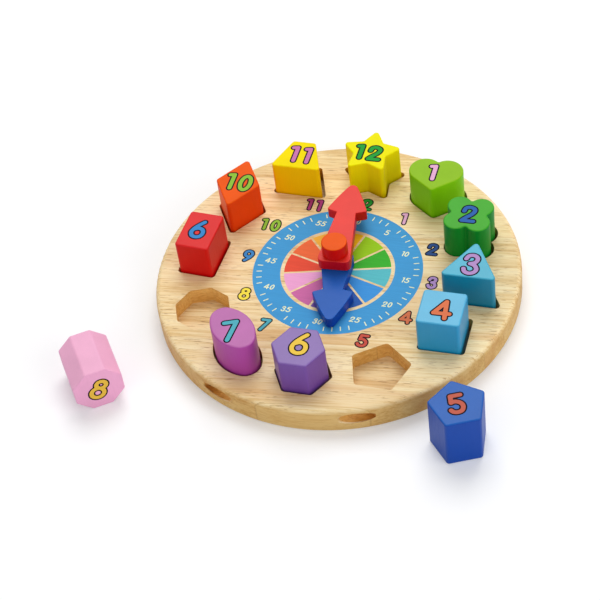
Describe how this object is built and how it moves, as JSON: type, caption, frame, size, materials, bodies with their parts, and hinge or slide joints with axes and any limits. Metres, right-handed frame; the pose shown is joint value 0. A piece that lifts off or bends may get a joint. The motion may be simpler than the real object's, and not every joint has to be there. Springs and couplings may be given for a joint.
{
  "type": "shape sorting clock",
  "caption": "Round wooden toy clock with turning hands on a dowel and painted lift-out shape blocks in matching recesses, one pair of blocks set beside it.",
  "frame": {"origin": "centre of the round board's flat back, which it rests on", "axes": "+Z out of the dial, +Y towards twelve o'clock, +X towards three o'clock"},
  "size_m": [0.2543, 0.2345, 0.0418],
  "materials": {
    "lacquered_wood": "satin",
    "bare_wood": "matte",
    "paint_orange": "satin",
    "paint_blue": "satin",
    "paint_red": "satin",
    "paint_light_green": "satin",
    "paint_green": "satin",
    "paint_teal": "satin",
    "paint_sky_blue": "satin",
    "paint_royal_blue": "satin",
    "paint_purple": "satin",
    "paint_orchid": "satin",
    "paint_pink": "satin",
    "paint_scarlet": "satin",
    "paint_orange_red": "satin",
    "paint_golden_yellow": "satin",
    "paint_yellow": "satin"
  },
  "bodies": {
    "board": {"base_disc": "lacquered_wood", "axle_dowel": "bare_wood", "centre_knob": "paint_orange"},
    "hour_hand": {"hour_hand": "paint_blue"},
    "minute_hand": {"minute_hand": "paint_red"},
    "block_01_heart": {"block_01_heart": "paint_light_green"},
    "block_02_clover": {"block_02_clover": "paint_green"},
    "block_03_triangle": {"block_03_triangle": "paint_teal"},
    "block_04_square": {"block_04_square": "paint_sky_blue"},
    "block_05_pentagon": {"block_05_pentagon": "paint_royal_blue"},
    "block_06_hexagon": {"block_06_hexagon": "paint_purple"},
    "block_07_oval": {"block_07_oval": "paint_orchid"},
    "block_08_octagon": {"block_08_octagon": "paint_pink"},
    "block_09_rectangle": {"block_09_rectangle": "paint_scarlet"},
    "block_10_rhombus": {"block_10_rhombus": "paint_orange_red"},
    "block_11_trapezoid": {"block_11_trapezoid": "paint_golden_yellow"},
    "block_12_star": {"block_12_star": "paint_yellow"}
  },
  "joints": [
    {"name": "hour_hand_turn", "type": "hinge", "parent": "board", "child": "hour_hand", "pos_m": [0, 0, 0.0214], "axis": [0, 0, 1], "continuous": true},
    {"name": "minute_hand_turn", "type": "hinge", "parent": "board", "child": "minute_hand", "pos_m": [0, 0, 0.029], "axis": [0, 0, 1], "continuous": true},
    {"name": "lift_01_heart", "type": "slide", "parent": "board", "child": "block_01_heart", "axis": [0, 0, 1], "range_m": [0, 0.06]},
    {"name": "lift_02_clover", "type": "slide", "parent": "board", "child": "block_02_clover", "axis": [0, 0, 1], "range_m": [0, 0.06]},
    {"name": "lift_03_triangle", "type": "slide", "parent": "board", "child": "block_03_triangle", "axis": [0, 0, 1], "range_m": [0, 0.06]},
    {"name": "lift_04_square", "type": "slide", "parent": "board", "child": "block_04_square", "axis": [0, 0, 1], "range_m": [0, 0.06]},
    {"name": "lift_05_pentagon", "type": "slide", "parent": "board", "child": "block_05_pentagon", "axis": [0, 0, 1], "range_m": [0, 0.06]},
    {"name": "lift_06_hexagon", "type": "slide", "parent": "board", "child": "block_06_hexagon", "axis": [0, 0, 1], "range_m": [0, 0.06]},
    {"name": "lift_07_oval", "type": "slide", "parent": "board", "child": "block_07_oval", "axis": [0, 0, 1], "range_m": [0, 0.06]},
    {"name": "lift_08_octagon", "type": "slide", "parent": "board", "child": "block_08_octagon", "axis": [0, 0, 1], "range_m": [0, 0.06]},
    {"name": "lift_09_rectangle", "type": "slide", "parent": "board", "child": "block_09_rectangle", "axis": [0, 0, 1], "range_m": [0, 0.06]},
    {"name": "lift_10_rhombus", "type": "slide", "parent": "board", "child": "block_10_rhombus", "axis": [0, 0, 1], "range_m": [0, 0.06]},
    {"name": "lift_11_trapezoid", "type": "slide", "parent": "board", "child": "block_11_trapezoid", "axis": [0, 0, 1], "range_m": [0, 0.06]},
    {"name": "lift_12_star", "type": "slide", "parent": "board", "child": "block_12_star", "axis": [0, 0, 1], "range_m": [0, 0.06]}
  ]
}
